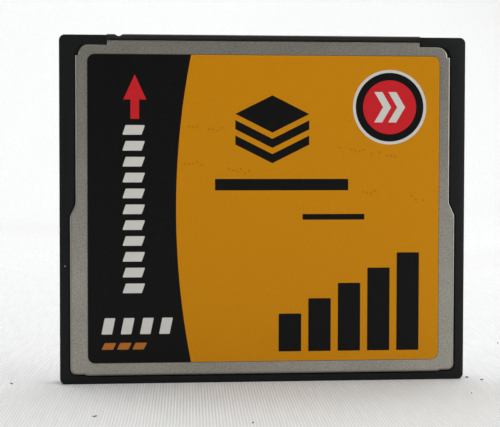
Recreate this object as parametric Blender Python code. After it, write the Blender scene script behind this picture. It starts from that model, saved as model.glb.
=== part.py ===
"""A 50-contact memory card, standing on its plain edge with its sockets up.

A moulded ring carries a socket block and a circuit board. Two folded steel sheets close it, and a printed
film covers the front one. +X runs along the sockets, -Y points out of the printed face, and +Z is up.
"""

from math import cos, pi, sin, tan

import bmesh
import bpy
from mathutils import Matrix, Vector

# The whole card
CARD_WIDTH = 42.8e-3
CARD_LENGTH = 36.4e-3
CARD_THICKNESS = 3.3e-3
CORNER_RADIUS = 0.6e-3
EDGE_ROUNDING = 0.1e-3

# Clearances between pieces
GLUE_LINE = 0.02e-3
FIT = 0.02e-3
FLANGE_PLAY = 0.05e-3
BOARD_PLAY = 0.1e-3

# Folded steel sheets, with distances from the sides and ends of the card
SHEET = 0.15e-3
BEND_INSIDE = 0.1e-3
FLANGE_DEPTH = 0.75e-3
RIM_BESIDE_SOCKETS = 1.6e-3
RIM_BESIDE_BODY = 1.0e-3
RIM_AT_FOOT = 0.93e-3
FOOT_FLANGE_DROP = 0.13e-3
FOOT_FLANGE_INSET = 1.8e-3
TAB_FROM_TOP = 0.58e-3
ARM_FROM_TOP = 1.1e-3
FLANGE_FROM_TOP = 2.2e-3
SHOULDER_START = 17.6e-3
SHOULDER_END = 18.85e-3
TOP_CORNER_IN = 0.38e-3
SHEET_TOP_RADIUS = 1.0e-3
SHEET_FOOT_RADIUS = 0.68e-3
RELIEF_SLIT = 0.08e-3

# Moulded frame
FRAME_RIM_SINK = 0.02e-3
ARM_DROP = 0.07e-3
ARM_WIDTH = 4.9e-3
LEDGE = 0.6e-3
FOOT_BAR = 1.9e-3
BOARD_SEAT = 0.7e-3
INNER_RADIUS = 0.8e-3
GROOVE_DEPTH = 0.57e-3
GROOVE_LENGTH = 25.78e-3
GROOVE_FROM_MIDDLE = 0.5e-3
LEFT_GROOVE = 1.0e-3
RIGHT_GROOVE = 1.6e-3
FINGER_LIP_RISE = 0.23e-3
FINGER_LIP_HEIGHT = 0.75e-3
FINGER_LIP_SLOPE = 0.2e-3

# Socket block and its contacts
MOST_COLUMNS = 25
PITCH = 1.27e-3
ROW_SPACING = 1.27e-3
SOCKET = 0.64e-3
MOUTH = 0.92e-3
LEAD_IN = 0.28e-3
LIP_END_WALL = 1.2e-3
LIP_HEIGHT = 0.44e-3
LIP_CHAMFER = 0.1e-3
BLOCK_DEPTH = 5.5e-3
BLOCK_FLOOR = 0.7e-3
BLOCK_OVER_LIP = 0.9e-3
EAR_WIDTH = 0.8e-3
EAR_BELOW_ARM = 0.07e-3
EAR_HEIGHT = 3.3e-3
NOTCH_WIDTH = 0.87e-3
NOTCH_HEIGHT = 0.27e-3
NOTCH_RADIUS = 0.3e-3
CONTACT_SHEET = 0.15e-3
CONTACT_WIDTH = 0.4e-3
CONTACT_OFF_WALL = 0.04e-3
CONTACT_TAIL = 1.8e-3
CONTACT_STEP = 0.6e-3
CONTACT_BULGE = 0.1e-3
CONTACT_BULGE_DEPTH = 1.65e-3
CONTACT_TIP_DEPTH = 0.85e-3
CONTACT_BEAM = 1.5e-3

# Circuit board and chips
BOARD_THICKNESS = 0.5e-3
BOARD_TO_BLOCK = 0.15e-3
CHIP_STANDOFF = 0.07e-3
CHIP_HEADROOM = 0.045e-3
CHIP_DRAFT = 0.08e-3
LEAD_SHEET = 0.13e-3
LEAD_WIDTH = 0.22e-3
LEAD_PITCH = 0.5e-3
LEAD_REACH = 0.8e-3
LEAD_FOOT = 0.45e-3
LEAD_ROOT = 0.15e-3
FLASH_LENGTH = 18.4e-3
FLASH_WIDTH = 12.0e-3
FLASH_LEAD_CORNER = 0.24e-3
CONTROLLER_SIDE = 10.0e-3
CONTROLLER_LEAD_CORNER = 1.2e-3
CHIP_FROM_EDGE = 0.8e-3
PASSIVE_LENGTH = 1.0e-3
PASSIVE_WIDTH = 0.5e-3
PASSIVE_HEIGHT = 0.35e-3
PASSIVE_SPACING = 2.2e-3
PASSIVES = 5

# Printed film, with distances from the left side and the socket end of the card where no other is named
FILM_LEFT = 2.92e-3
FILM_TOP = 2.08e-3
FILM_FROM_RIGHT = 2.8e-3
FILM_FROM_FOOT = 2.2e-3
FILM_RADIUS = 0.75e-3
FILM = 0.05e-3
INK = 0.005e-3
INK_LAYERS = 4
INK_ROOT = 0.01e-3
LEAN = 0.35e-3
FIELD_EDGE = 13.66e-3
FIELD_SAGITTA = 1.57e-3
ARROW_X = 7.8e-3
ARROW_TOP = 4.15e-3
ARROW_WIDTH = 2.4e-3
ARROW_HEAD = 2.6e-3
ARROW_STEM = 0.9e-3
ARROW_HEIGHT = 4.6e-3
LADDER_LEFT = 6.5e-3
LADDER_TOP = 9.4e-3
LADDER_WIDTH = 2.0e-3
LADDER_BAR = 1.0e-3
LADDER_PITCH = 1.65e-3
LADDER_END_GAP = 1.5e-3
TICK_LEFT = 4.3e-3
TICK_ABOVE_FOOT = 4.7e-3
TICK_WIDTH = 1.1e-3
TICK_HEIGHT = 1.7e-3
TICK_PITCH = 2.0e-3
TICKS = 4
DASH_ABOVE_FOOT = 2.1e-3
DASH_WIDTH = 1.2e-3
DASH_HEIGHT = 0.7e-3
DASH_PITCH = 1.6e-3
DASHES = 3
BADGE_FROM_RIGHT = 5.35e-3
BADGE_FROM_TOP = 7.45e-3
BADGE_EDGE = 3.93e-3
BADGE_RING = 3.62e-3
BADGE_DISC = 2.84e-3
CHEVRON_HEIGHT = 3.2e-3
CHEVRON_REACH = 0.95e-3
CHEVRON_ARM = 0.85e-3
CHEVRON_PITCH = 1.5e-3
STACK_FROM_TOP = 9.8e-3
STACK_WIDTH = 7.8e-3
STACK_PLATE = 3.9e-3
STACK_BAND = 0.95e-3
STACK_PITCH = 1.6e-3
STACK_PLATES = 3
LONG_RULE = 14.1e-3
LONG_RULE_HEIGHT = 1.2e-3
LONG_RULE_TOP = 15.0e-3
LONG_RULE_FROM_FIELD = 2.5e-3
SHORT_RULE = 6.6e-3
SHORT_RULE_HEIGHT = 0.6e-3
SHORT_RULE_TOP = 18.7e-3
SHORT_RULE_FROM_RIGHT = 8.0e-3
LEVEL_FROM_RIGHT = 2.1e-3
LEVEL_ABOVE_FOOT = 1.0e-3
LEVEL_WIDTH = 2.4e-3
LEVEL_PITCH = 3.15e-3
LEVEL_FIRST = 4.0e-3
LEVEL_STEP = 1.6e-3
LEVELS = 5

# Places on the film, worked out from its edges
FILM_RIGHT = CARD_WIDTH - FILM_FROM_RIGHT
FILM_FOOT = CARD_LENGTH - FILM_FROM_FOOT
FILM_WIDTH = FILM_RIGHT - FILM_LEFT
FILM_HEIGHT = FILM_FOOT - FILM_TOP
BADGE_X = FILM_RIGHT - BADGE_FROM_RIGHT
STACK_X = (FIELD_EDGE + BADGE_X - BADGE_EDGE) / 2
LONG_RULE_LEFT = FIELD_EDGE + LONG_RULE_FROM_FIELD
SHORT_RULE_LEFT = FILM_RIGHT - SHORT_RULE_FROM_RIGHT - SHORT_RULE
TICK_TOP = FILM_FOOT - TICK_ABOVE_FOOT
DASH_TOP = FILM_FOOT - DASH_ABOVE_FOOT
LADDER_BARS = int((TICK_TOP - LADDER_END_GAP - LADDER_TOP) / LADDER_PITCH)
LEVEL_FOOT = FILM_FOOT - LEVEL_ABOVE_FOOT
LEVEL_LEFT = FILM_RIGHT - LEVEL_FROM_RIGHT - LEVEL_WIDTH - (LEVELS - 1) * LEVEL_PITCH

# Heights through the thickness, from the printed face to the back
FILM_FACE = -CARD_THICKNESS / 2 + INK_LAYERS * INK
FILM_BACK = FILM_FACE + FILM
FRONT_STEEL = FILM_BACK + GLUE_LINE
FRONT_STEEL_INSIDE = FRONT_STEEL + SHEET
BACK_STEEL = CARD_THICKNESS / 2 - FINGER_LIP_RISE
BACK_STEEL_INSIDE = BACK_STEEL - SHEET
RIM_FRONT = FRONT_STEEL + FRAME_RIM_SINK
RIM_BACK = BACK_STEEL - FRAME_RIM_SINK
LEDGE_FRONT = FRONT_STEEL_INSIDE + GLUE_LINE
LEDGE_BACK = BACK_STEEL_INSIDE - GLUE_LINE
BOARD_MIDDLE = (FRONT_STEEL_INSIDE + BACK_STEEL_INSIDE) / 2
BOARD_FRONT = BOARD_MIDDLE - BOARD_THICKNESS / 2
BOARD_BACK = BOARD_MIDDLE + BOARD_THICKNESS / 2

# Half widths, and places along the card
ARM_INNER = CARD_WIDTH / 2 - ARM_WIDTH
LIP_HALF = ARM_INNER - FIT
COLUMNS = min(MOST_COLUMNS, int(2 * (LIP_HALF - LIP_END_WALL) / PITCH) + 1)
BLOCK_HALF = LIP_HALF + BLOCK_OVER_LIP
EAR_HALF = BLOCK_HALF + EAR_WIDTH
UPPER_HALF = CARD_WIDTH / 2 - RIM_BESIDE_SOCKETS
LOWER_HALF = CARD_WIDTH / 2 - RIM_BESIDE_BODY
BEND_OUTSIDE = BEND_INSIDE + SHEET
OPENING_HALF = UPPER_HALF - BEND_OUTSIDE - LEDGE
TAB_TOP = CARD_LENGTH - TAB_FROM_TOP
SHEET_SHOULDER_TOP = CARD_LENGTH - SHOULDER_START
SHEET_SHOULDER_FOOT = CARD_LENGTH - SHOULDER_END
ARM_UNDERSIDE = CARD_LENGTH - ARM_FROM_TOP
EAR_TOP = ARM_UNDERSIDE - EAR_BELOW_ARM
EAR_FOOT = EAR_TOP - EAR_HEIGHT
BLOCK_FOOT = CARD_LENGTH - BLOCK_DEPTH
SOCKET_FLOOR = BLOCK_FOOT + BLOCK_FLOOR
BOARD_TOP = BLOCK_FOOT - BOARD_TO_BLOCK
BOARD_FOOT = FOOT_BAR + BOARD_PLAY
BOARD_HALF = OPENING_HALF - BOARD_PLAY

# How far a cutter runs past the surface that it cuts
OVERSHOOT = 0.5e-3
ARC_STEPS = 6
FLANGE_ARC_STEPS = 3
BEND_STEPS = 4
DISC_SIDES = 36

Y_AXIS = Vector((0, 1, 0))


def finish(name, colour, roughness, metallic=0.0):
    """A plain Principled material, its colour given as an sRGB hex string."""
    material = bpy.data.materials.new(name)
    material.use_nodes = True
    channels = [int(colour[i : i + 2], 16) / 255 for i in (0, 2, 4)]
    linear = [c / 12.92 if c <= 0.04045 else ((c + 0.055) / 1.055) ** 2.4 for c in channels]
    shader = material.node_tree.nodes["Principled BSDF"]
    shader.inputs["Base Color"].default_value = (*linear, 1)
    shader.inputs["Roughness"].default_value = roughness
    shader.inputs["Metallic"].default_value = metallic
    material.diffuse_color = (*linear, 1)
    return material


def place(name, bm, material, helper=False):
    """Puts the mesh in the scene. A helper only cuts or joins, so it isn't rendered."""
    bmesh.ops.recalc_face_normals(bm, faces=bm.faces)
    mesh = bpy.data.meshes.new(name)
    bm.to_mesh(mesh)
    bm.free()
    mesh.materials.append(material)
    obj = bpy.data.objects.new(name, mesh)
    bpy.context.scene.collection.objects.link(obj)
    if helper:
        obj.hide_render = True
        obj.display_type = "WIRE"
    return obj


def combine(obj, other, operation):
    """Adds or takes away the other solid. Each face keeps the material of the solid it came from."""
    boolean = obj.modifiers.new(other.name, "BOOLEAN")
    boolean.operation = operation
    boolean.solver = "EXACT"
    boolean.material_mode = "TRANSFER"
    boolean.object = other


def rounded(corners, steps=ARC_STEPS):
    """The outline through (x, z, radius) corners, with an arc at each corner that has a radius."""
    points = []
    for i, (x, z, radius) in enumerate(corners):
        here = Vector((x, z))
        if radius == 0:
            points.append(here)
            continue
        back = (Vector(corners[i - 1][:2]) - here).normalized()
        on = (Vector(corners[(i + 1) % len(corners)][:2]) - here).normalized()
        half_angle = back.angle(on) / 2
        centre = here + (back + on).normalized() * radius / sin(half_angle)
        start = (here + back * radius / tan(half_angle) - centre).normalized()
        end = (here + on * radius / tan(half_angle) - centre).normalized()
        points += [centre + start.slerp(end, step / steps) * radius for step in range(steps + 1)]
    return points


def both_sides(right_half):
    """A closed list of corners from its right half, which runs from the top to the foot."""
    return right_half + [(-x, z, radius) for x, z, radius in reversed(right_half)]


def box_outline(left, right, foot, top):
    return [(left, foot), (right, foot), (right, top), (left, top)]


def disc_outline(x, z, radius):
    spokes = [Matrix.Rotation(2 * pi * i / DISC_SIDES, 2) @ Vector((radius, 0)) for i in range(DISC_SIDES)]
    return [Vector((x, z)) + spoke for spoke in spokes]


def extrude(bm, faces, shift):
    """Extrudes the faces by the shift, and returns the faces at the far end."""
    edges = {edge for face in faces for edge in face.edges}
    grown = bmesh.ops.extrude_face_region(bm, geom=[*faces, *edges])["geom"]
    bmesh.ops.translate(bm, verts=[v for v in grown if isinstance(v, bmesh.types.BMVert)], vec=shift)
    return [f for f in grown if isinstance(f, bmesh.types.BMFace)]


def prism(bm, outline, front, back):
    """A solid with this (x, z) outline, from one depth of the card to another."""
    face = bm.faces.new([bm.verts.new((x, front, z)) for x, z in outline])
    extrude(bm, [face], (0, back - front, 0))


def bar(bm, profile, left, right):
    """A solid with this (y, z) profile, from one x to another."""
    face = bm.faces.new([bm.verts.new((left, y, z)) for y, z in profile])
    extrude(bm, [face], (right - left, 0, 0))


def mitres(path):
    """At each point of an open path, the step to its left that moves the path sideways by one."""
    runs = [(b - a).normalized() for a, b in zip(path, path[1:])]
    sides = [Vector((-run.y, run.x)) for run in runs]
    steps = [sides[0]]
    for before, after in zip(sides, sides[1:]):
        middle = (before + after).normalized()
        steps.append(middle / middle.dot(before))
    return steps + [sides[-1]]


def moved(path, distance):
    """The path moved to its left by the distance."""
    return [point + step * distance for point, step in zip(path, mitres(path))]


def strip_profile(path, thickness):
    """The outline of a strip of sheet metal that follows a bent path of (u, v) points."""
    path = [Vector(point) for point in path]
    return moved(path, thickness / 2) + moved(path, -thickness / 2)[::-1]


for obj in list(bpy.data.objects):
    bpy.data.objects.remove(obj, do_unlink=True)

BLACK_PLASTIC = finish("black plastic", "222321", 0.55)
SOCKET_PLASTIC = finish("socket plastic", "2b2a27", 0.5)
STEEL = finish("stainless steel", "8a877d", 0.35, 1.0)
AMBER = finish("amber film", "b97a12", 0.4)
BLACK_INK = finish("black ink", "181817", 0.4)
WHITE_INK = finish("white ink", "d6cdbd", 0.4)
RED_INK = finish("red ink", "bf2428", 0.4)
ORANGE_INK = finish("orange ink", "c8782f", 0.4)
BOARD = finish("green board", "1f5a35", 0.45)
CHIP = finish("chip resin", "1c1c1c", 0.6)
GOLD = finish("gold plating", "c9a24a", 0.3, 1.0)


# Moulded frame: a ring with two arms at the socket end, grooves in its sides and a finger lip at its foot

FOOT_FLANGE = RIM_AT_FOOT - FOOT_FLANGE_DROP
FOOT_FLANGE_HALF = LOWER_HALF - FOOT_FLANGE_INSET
SIDE_FLANGE_TOP = CARD_LENGTH - FLANGE_FROM_TOP
SIDE_FLANGE_END = FOOT_FLANGE_HALF + RELIEF_SLIT


def side_line(top=SIDE_FLANGE_TOP, end=SIDE_FLANGE_END):
    """The outer face of the right flange, seen from the front, from its top round the corner at the foot."""
    return rounded([
        (UPPER_HALF, top, 0),
        (UPPER_HALF, SHEET_SHOULDER_TOP, 0),
        (LOWER_HALF, SHEET_SHOULDER_FOOT, 0),
        (LOWER_HALF, RIM_AT_FOOT, SHEET_FOOT_RADIUS),
        (end, RIM_AT_FOOT, 0),
    ], steps=FLANGE_ARC_STEPS)


def mirrored(line):
    """The same line on the card's left side, run through backwards."""
    return [Vector((-x, z)) for x, z in reversed(line)]


def sharp_corners(line):
    """The points of a line, written as corners without a radius."""
    return [(x, z, 0) for x, z in line]


def sheet_recess(clearance):
    """The outline of a folded sheet's seat, open between the arms. Its rim lies in the flanges' slot."""
    top = ARM_UNDERSIDE + clearance
    side = UPPER_HALF + clearance
    return rounded(both_sides([
        (ARM_INNER, CARD_LENGTH + OVERSHOOT, 0),
        (ARM_INNER, top, 0),
        (side, top, SHEET_TOP_RADIUS),
        (side, SIDE_FLANGE_TOP, 0),
        *sharp_corners(moved(side_line(), -BEND_OUTSIDE / 2)),
    ]))


def block_opening(side, foot):
    """The ring's opening: the pocket round the socket block's ears, and the space for the board below it."""
    return rounded(both_sides([
        (ARM_INNER, CARD_LENGTH + OVERSHOOT, 0),
        (ARM_INNER, EAR_TOP + FIT, 0),
        (EAR_HALF + FIT, EAR_TOP + FIT, 0),
        (EAR_HALF + FIT, EAR_FOOT - FIT, 0),
        (BLOCK_HALF + FIT, EAR_FOOT - FIT, 0),
        (BLOCK_HALF + FIT, BLOCK_FOOT, 0),
        (side, BLOCK_FOOT, 0),
        (side, foot, INNER_RADIUS),
    ]))


def flange_slot(front, back):
    """A slot round three sides that takes the bent edges of one sheet, between two depths of the card."""
    play = FLANGE_PLAY
    reach = FOOT_FLANGE_HALF + play
    line = side_line(SIDE_FLANGE_TOP + play, reach)
    outer = [*moved(line, play), Vector((reach, FOOT_FLANGE - play))]
    inner = moved(line, -BEND_OUTSIDE)
    bm = bmesh.new()
    prism(bm, [*outer, *mirrored(outer), *reversed(mirrored(inner)), *reversed(inner)], front, back)
    return bm


def make_frame():
    half = CARD_WIDTH / 2
    top = CARD_LENGTH - ARM_DROP
    outline = rounded([(x, z, CORNER_RADIUS) for x, z in box_outline(-half, half, 0, top)])
    bm = bmesh.new()
    prism(bm, outline, RIM_FRONT, RIM_BACK)
    frame = place("frame", bm, BLACK_PLASTIC)
    rounding = frame.modifiers.new("rounded edges", "BEVEL")
    rounding.width = EDGE_ROUNDING
    rounding.segments = 2
    rounding.limit_method = "ANGLE"
    rounding.angle_limit = pi / 3

    lip_end = half - CORNER_RADIUS - EDGE_ROUNDING
    lip_back = CARD_THICKNESS / 2
    profile = [
        (LEDGE_BACK, 0),
        (lip_back - EDGE_ROUNDING, 0),
        (lip_back, EDGE_ROUNDING),
        (lip_back, FINGER_LIP_HEIGHT - FINGER_LIP_SLOPE),
        (RIM_BACK, FINGER_LIP_HEIGHT),
        (LEDGE_BACK, FINGER_LIP_HEIGHT),
    ]
    bm = bmesh.new()
    bar(bm, profile, -lip_end, lip_end)
    combine(frame, place("finger_lip", bm, BLACK_PLASTIC, helper=True), "UNION")

    bm = bmesh.new()
    prism(bm, sheet_recess(FIT), RIM_FRONT - OVERSHOOT, LEDGE_FRONT)
    combine(frame, place("front_recess", bm, BLACK_PLASTIC, helper=True), "DIFFERENCE")
    bm = bmesh.new()
    prism(bm, sheet_recess(FIT), LEDGE_BACK, RIM_BACK + OVERSHOOT)
    combine(frame, place("back_recess", bm, BLACK_PLASTIC, helper=True), "DIFFERENCE")

    slot_bottom = FRONT_STEEL + FLANGE_DEPTH + FLANGE_PLAY
    bm = flange_slot(RIM_FRONT - OVERSHOOT, slot_bottom)
    combine(frame, place("front_slot", bm, BLACK_PLASTIC, helper=True), "DIFFERENCE")
    slot_bottom = BACK_STEEL - FLANGE_DEPTH - FLANGE_PLAY
    bm = flange_slot(slot_bottom, RIM_BACK + OVERSHOOT)
    combine(frame, place("back_slot", bm, BLACK_PLASTIC, helper=True), "DIFFERENCE")

    seat = BOARD_BACK + FIT
    bm = bmesh.new()
    prism(bm, block_opening(OPENING_HALF, FOOT_BAR), RIM_FRONT - OVERSHOOT, seat)
    combine(frame, place("front_opening", bm, BLACK_PLASTIC, helper=True), "DIFFERENCE")
    bm = bmesh.new()
    outline = block_opening(OPENING_HALF - BOARD_SEAT, FOOT_BAR + BOARD_SEAT)
    prism(bm, outline, seat - FIT, RIM_BACK + OVERSHOOT)
    combine(frame, place("back_opening", bm, BLACK_PLASTIC, helper=True), "DIFFERENCE")

    bm = bmesh.new()
    foot = CARD_LENGTH - GROOVE_LENGTH
    over = CARD_LENGTH + OVERSHOOT
    bottom = half - GROOVE_DEPTH
    for outline, height in (
        (box_outline(-half - OVERSHOOT, -bottom, foot, over), LEFT_GROOVE),
        (box_outline(bottom, half + OVERSHOOT, foot, over), RIGHT_GROOVE),
    ):
        prism(bm, outline, -GROOVE_FROM_MIDDLE, height - GROOVE_FROM_MIDDLE)
    combine(frame, place("side_grooves", bm, BLACK_PLASTIC, helper=True), "DIFFERENCE")
    return frame


# Folded steel sheets: flat blanks with small slits where a bend ends, and the flanges bent into the frame

def sheet_blank():
    """The flat outline of a sheet. Where a flange starts, the edge lies on the line of its bend."""
    slit = RELIEF_SLIT
    tab = LIP_HALF - GLUE_LINE
    slit_top = RIM_AT_FOOT + BEND_OUTSIDE + slit
    return rounded(both_sides([
        (tab, TAB_TOP, 0),
        (tab, ARM_UNDERSIDE, 0),
        (UPPER_HALF - TOP_CORNER_IN, ARM_UNDERSIDE, SHEET_TOP_RADIUS),
        (UPPER_HALF - TOP_CORNER_IN, SIDE_FLANGE_TOP, 0),
        *sharp_corners(moved(side_line(), -BEND_OUTSIDE)),
        (SIDE_FLANGE_END, slit_top, 0),
        (FOOT_FLANGE_HALF, slit_top, 0),
        (FOOT_FLANGE_HALF, FOOT_FLANGE + BEND_OUTSIDE, 0),
    ]))


def fold_over(bm, outer, inner, inward):
    """Folds a flange over from an edge of the blank, whose corners are given on the sheet's two faces."""
    edge = [Vector((corner.co.x, corner.co.z)) for corner in outer]
    outward = [Vector((step.x, 0, step.y)) for step in mitres(edge)]
    section = [(pi / 2 * step / BEND_STEPS, 0) for step in range(1, BEND_STEPS + 1)]
    section.append((pi / 2, FLANGE_DEPTH - BEND_OUTSIDE))
    last = outer + inner[::-1]
    for turn, straight in section:
        ring = []
        for corners, radius in ((outer, BEND_OUTSIDE), (inner, BEND_INSIDE)):
            reach = radius * sin(turn)
            drop = inward * (radius - radius * cos(turn) + straight)
            side = [corner.co + step * reach + drop for corner, step in zip(corners, outward)]
            ring.append([bm.verts.new(point) for point in side])
        ring = ring[0] + ring[1][::-1]
        for i in range(len(ring)):
            bm.faces.new((last[i - 1], last[i], ring[i], ring[i - 1]))
        last = ring
    for i in range(len(outer) - 1):
        bm.faces.new((last[i], last[i + 1], last[-2 - i], last[-1 - i]))


def make_cover(name, outer_face, inward):
    bm = bmesh.new()
    blank = sheet_blank()
    outer = [bm.verts.new((x, outer_face, z)) for x, z in blank]
    inner = [bm.verts.new((x, outer_face + inward * SHEET, z)) for x, z in blank]
    bm.faces.new(outer)
    bm.faces.new(inner)

    right = moved(side_line(), -BEND_OUTSIDE)
    foot_root = FOOT_FLANGE + BEND_OUTSIDE
    foot = [Vector((FOOT_FLANGE_HALF, foot_root)), Vector((-FOOT_FLANGE_HALF, foot_root))]
    folded = set()
    for edge in (right, foot, mirrored(right)):
        first = blank.index(edge[0])
        last = first + len(edge)
        fold_over(bm, outer[first:last], inner[first:last], Y_AXIS * inward)
        folded.update(range(first + 1, last))
    for i in range(len(blank)):
        if i not in folded:
            bm.faces.new((outer[i - 1], outer[i], inner[i], inner[i - 1]))
    cover = place(name, bm, STEEL)
    cover.data.shade_smooth()
    cover.data.set_sharp_from_angle(angle=pi / 6)
    return cover


# Socket block: a lip between the arms, a body with ears under the sheets, and two rows of square sockets

def column_x(column):
    return (column - (COLUMNS - 1) / 2) * PITCH


def contact_depth(row):
    """The y of a contact's stem, which stands just off the outer wall of its socket."""
    return row * (ROW_SPACING / 2 + SOCKET / 2 - CONTACT_OFF_WALL - CONTACT_SHEET / 2)


def socket_cutter(bm, column, row):
    """One socket: a tapered mouth, a square well, and a slot in its floor for the contact's stem."""
    x = column_x(column)
    y = row * ROW_SPACING / 2
    slot_wide = CONTACT_WIDTH / 2 + FIT
    slot_deep = CONTACT_SHEET / 2 + FIT
    flare = MOUTH / 2 + (MOUTH - SOCKET) / 2 * OVERSHOOT / LEAD_IN
    loops = []
    for z, middle, wide, deep in (
        (CARD_LENGTH + OVERSHOOT, y, flare, flare),
        (CARD_LENGTH - LEAD_IN, y, SOCKET / 2, SOCKET / 2),
        (SOCKET_FLOOR, y, SOCKET / 2, SOCKET / 2),
        (SOCKET_FLOOR, contact_depth(row), slot_wide, slot_deep),
        (BLOCK_FOOT - OVERSHOOT, contact_depth(row), slot_wide, slot_deep),
    ):
        square = ((-wide, -deep), (wide, -deep), (wide, deep), (-wide, deep))
        loops.append([bm.verts.new((x + dx, middle + dy, z)) for dx, dy in square])
    bm.faces.new(loops[0])
    bm.faces.new(loops[-1][::-1])
    for upper, lower in zip(loops, loops[1:]):
        for i in range(4):
            bm.faces.new((upper[i - 1], upper[i], lower[i], lower[i - 1]))


def make_socket_block():
    bm = bmesh.new()
    body = both_sides([
        (LIP_HALF, CARD_LENGTH - LIP_HEIGHT / 2, 0),
        (LIP_HALF, EAR_TOP, 0),
        (EAR_HALF, EAR_TOP, 0),
        (EAR_HALF, EAR_FOOT, 0),
        (BLOCK_HALF, EAR_FOOT, 0),
        (BLOCK_HALF, BLOCK_FOOT, 0),
    ])
    prism(bm, [(x, z) for x, z, _ in body], LEDGE_FRONT, LEDGE_BACK)
    block = place("connector_housing", bm, SOCKET_PLASTIC)

    lip_front = -CARD_THICKNESS / 2
    lip_back = BACK_STEEL
    lip_foot = CARD_LENGTH - LIP_HEIGHT
    profile = [
        (lip_front, lip_foot),
        (lip_front, CARD_LENGTH - LIP_CHAMFER),
        (lip_front + LIP_CHAMFER, CARD_LENGTH),
        (lip_back - LIP_CHAMFER, CARD_LENGTH),
        (lip_back, CARD_LENGTH - LIP_CHAMFER),
        (lip_back, lip_foot),
    ]
    bm = bmesh.new()
    bar(bm, profile, -LIP_HALF, LIP_HALF)
    combine(block, place("lip", bm, SOCKET_PLASTIC, helper=True), "UNION")

    bm = bmesh.new()
    for column in range(COLUMNS):
        for row in (-1, 1):
            socket_cutter(bm, column, row)
    combine(block, place("sockets", bm, SOCKET_PLASTIC, helper=True), "DIFFERENCE")

    x = column_x(0)
    spread = NOTCH_WIDTH / 2 * (1 + OVERSHOOT / NOTCH_HEIGHT)
    over = CARD_LENGTH + OVERSHOOT
    corners = [(x - spread, over, 0), (x, CARD_LENGTH - NOTCH_HEIGHT, NOTCH_RADIUS), (x + spread, over, 0)]
    bm = bmesh.new()
    prism(bm, rounded(corners, steps=2), lip_front - OVERSHOOT, lip_back + OVERSHOOT)
    combine(block, place("first_socket_notch", bm, SOCKET_PLASTIC, helper=True), "DIFFERENCE")
    return block


# Contacts: gold-plated springs whose stems pass through the block's floor to pads on the board

def contact_mesh(row):
    board_face = BOARD_FRONT if row < 0 else BOARD_BACK
    pad = board_face + row * (GLUE_LINE + CONTACT_SHEET / 2)
    stem = contact_depth(row)
    bulge_top = CARD_LENGTH - CONTACT_BULGE_DEPTH
    path = [
        (pad, BOARD_TOP - CONTACT_TAIL),
        (pad, BOARD_TOP - CONTACT_STEP),
        (stem, BOARD_TOP),
        (stem, bulge_top - CONTACT_BEAM),
        (stem - row * CONTACT_BULGE, bulge_top),
        (stem, CARD_LENGTH - CONTACT_TIP_DEPTH),
    ]
    bm = bmesh.new()
    bar(bm, strip_profile(path, CONTACT_SHEET), -CONTACT_WIDTH / 2, CONTACT_WIDTH / 2)
    bmesh.ops.recalc_face_normals(bm, faces=bm.faces)
    mesh = bpy.data.meshes.new("contact")
    bm.to_mesh(mesh)
    bm.free()
    mesh.materials.append(GOLD)
    return mesh


def make_contacts():
    """Contacts 1 to 25 stand in the front row and 26 to 50 in the back row, counted from the notch."""
    contacts = []
    for row, first in ((-1, 1), (1, COLUMNS + 1)):
        mesh = contact_mesh(row)
        for column in range(COLUMNS):
            contact = bpy.data.objects.new(f"contact_{first + column:02d}", mesh)
            contact.location.x = column_x(column)
            bpy.context.scene.collection.objects.link(contact)
            contacts.append(contact)
    return contacts


# Circuit board, with the small capacitors and resistors soldered to it between the chips

CHIP_MIDDLE = (BOARD_FOOT + BOARD_TOP - CONTACT_TAIL) / 2
FLASH_X = -BOARD_HALF + CHIP_FROM_EDGE + FLASH_WIDTH / 2
CONTROLLER_X = BOARD_HALF - CHIP_FROM_EDGE - LEAD_REACH - CONTROLLER_SIDE / 2
PASSIVE_X = (FLASH_X + FLASH_WIDTH / 2 + CONTROLLER_X - CONTROLLER_SIDE / 2 - LEAD_REACH) / 2


def make_board():
    bm = bmesh.new()
    outline = rounded(both_sides([(BOARD_HALF, BOARD_TOP, 0), (BOARD_HALF, BOARD_FOOT, INNER_RADIUS)]))
    prism(bm, outline, BOARD_FRONT, BOARD_BACK)
    board = place("circuit_board", bm, BOARD)

    bm = bmesh.new()
    root = BOARD_THICKNESS / 4
    left, right = PASSIVE_X - PASSIVE_WIDTH / 2, PASSIVE_X + PASSIVE_WIDTH / 2
    for face, outward in ((BOARD_FRONT, -1), (BOARD_BACK, 1)):
        near, far = sorted((face - outward * root, face + outward * PASSIVE_HEIGHT))
        for i in range(PASSIVES):
            middle = CHIP_MIDDLE + (i - (PASSIVES - 1) / 2) * PASSIVE_SPACING
            outline = box_outline(left, right, middle - PASSIVE_LENGTH / 2, middle + PASSIVE_LENGTH / 2)
            prism(bm, outline, near, far)
    combine(board, place("passives", bm, CHIP, helper=True), "UNION")
    return board


def lead_count(side, corner):
    """How many leads fit along a side of a chip, with this much left free at each corner."""
    return int((side - 2 * corner) / LEAD_PITCH) + 1


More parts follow.
